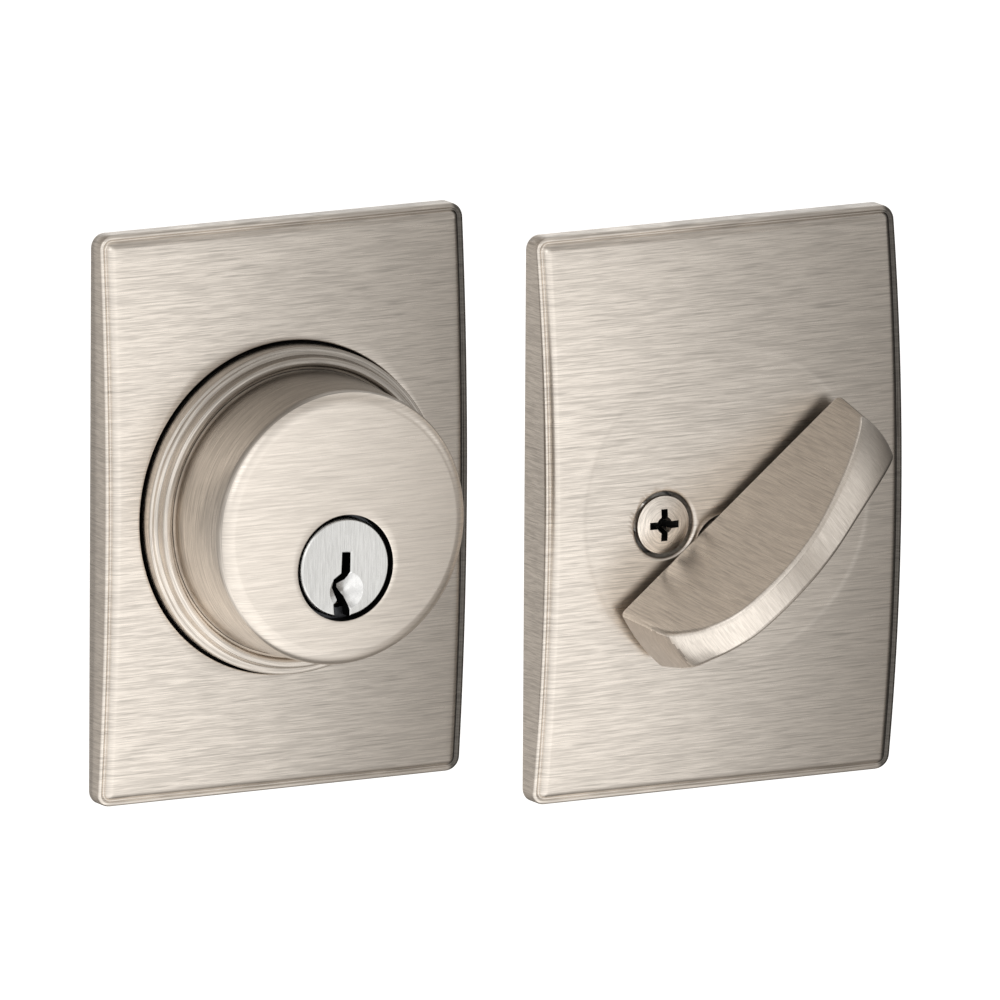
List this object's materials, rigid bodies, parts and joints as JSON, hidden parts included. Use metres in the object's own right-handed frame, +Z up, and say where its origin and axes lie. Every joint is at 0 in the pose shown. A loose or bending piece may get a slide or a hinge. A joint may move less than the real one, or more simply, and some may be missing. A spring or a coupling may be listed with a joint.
{
  "type": "deadbolt door lock",
  "caption": "Deadbolt door lock trims: rectangular roses with bulged fronts, a keyed cylinder in a tapered guard, and a bow-shaped thumbturn.",
  "frame": {"origin": "the exterior guard's axis, where it meets the door's face", "axes": "+Y into the door, -Y out of both fronts, +Z up, +X from the exterior unit to the interior unit"},
  "size_m": [0.1435, 0.0763, 0.0991],
  "materials": {
    "satin_nickel": "brushed satin",
    "plug_nickel": "fine brushed",
    "zinc_casting": "as cast",
    "brass": "machined",
    "steel": "zinc plated",
    "hard_steel": "hardened, dark",
    "spring_steel": "bright drawn"
  },
  "bodies": {
    "mounted_trims": {"exterior_rose": "satin_nickel", "guard_base_ring": "satin_nickel", "cylinder_guard": "satin_nickel", "hardened_insert": "hard_steel", "cylinder_shell": "brass", "pin_chamber_cap": "brass", "pin_spring_1": "spring_steel", "pin_spring_2": "spring_steel", "pin_spring_3": "spring_steel", "pin_spring_4": "spring_steel", "pin_spring_5": "spring_steel", "cylinder_support_plate": "steel", "mounting_post_left": "steel", "mounting_post_right": "steel", "interior_rose": "satin_nickel", "interior_support_plate": "steel", "mounting_screw_left": "satin_nickel", "mounting_screw_right": "satin_nickel"},
    "plug": {"plug": "plug_nickel", "plug_retainer": "zinc_casting"},
    "key_pins": {"key_pin_1": "brass", "key_pin_2": "brass", "key_pin_3": "brass", "key_pin_4": "brass", "key_pin_5": "brass"},
    "driver_pins": {"driver_pin_1": "steel", "driver_pin_2": "steel", "driver_pin_3": "steel", "driver_pin_4": "steel", "driver_pin_5": "steel"},
    "tailpiece": {"tailpiece": "steel"},
    "thumbturn": {"thumbturn": "satin_nickel", "thumbturn_hub": "zinc_casting", "spring_washer": "spring_steel", "retaining_clip": "spring_steel"}
  },
  "joints": [
    {"name": "plug_turn", "type": "hinge", "parent": "mounted_trims", "child": "plug", "pos_m": [0, 0, -0.0063], "axis": [0, -1, 0], "range_deg": [-90, 90]},
    {"name": "tailpiece_swing", "type": "hinge", "parent": "plug", "child": "tailpiece", "pos_m": [0, 0, -0.0063], "axis": [0, -1, 0], "range_deg": [-45, 45]},
    {"name": "key_pin_drop", "type": "slide", "parent": "plug", "child": "key_pins", "axis": [0, 0, 1], "range_m": [-0.0014, 0]},
    {"name": "driver_pin_lift", "type": "slide", "parent": "mounted_trims", "child": "driver_pins", "axis": [0, 0, 1], "range_m": [0, 0.0014], "stiffness_N_per_m": 200, "springref_m": -0.003, "deforming": ["pin_spring_1", "pin_spring_2", "pin_spring_3", "pin_spring_4", "pin_spring_5"]},
    {"name": "thumbturn_turn", "type": "hinge", "parent": "mounted_trims", "child": "thumbturn", "pos_m": [0.0783, 0, -0.0134], "axis": [0, -1, 0], "range_deg": [-39, 51]}
  ]
}
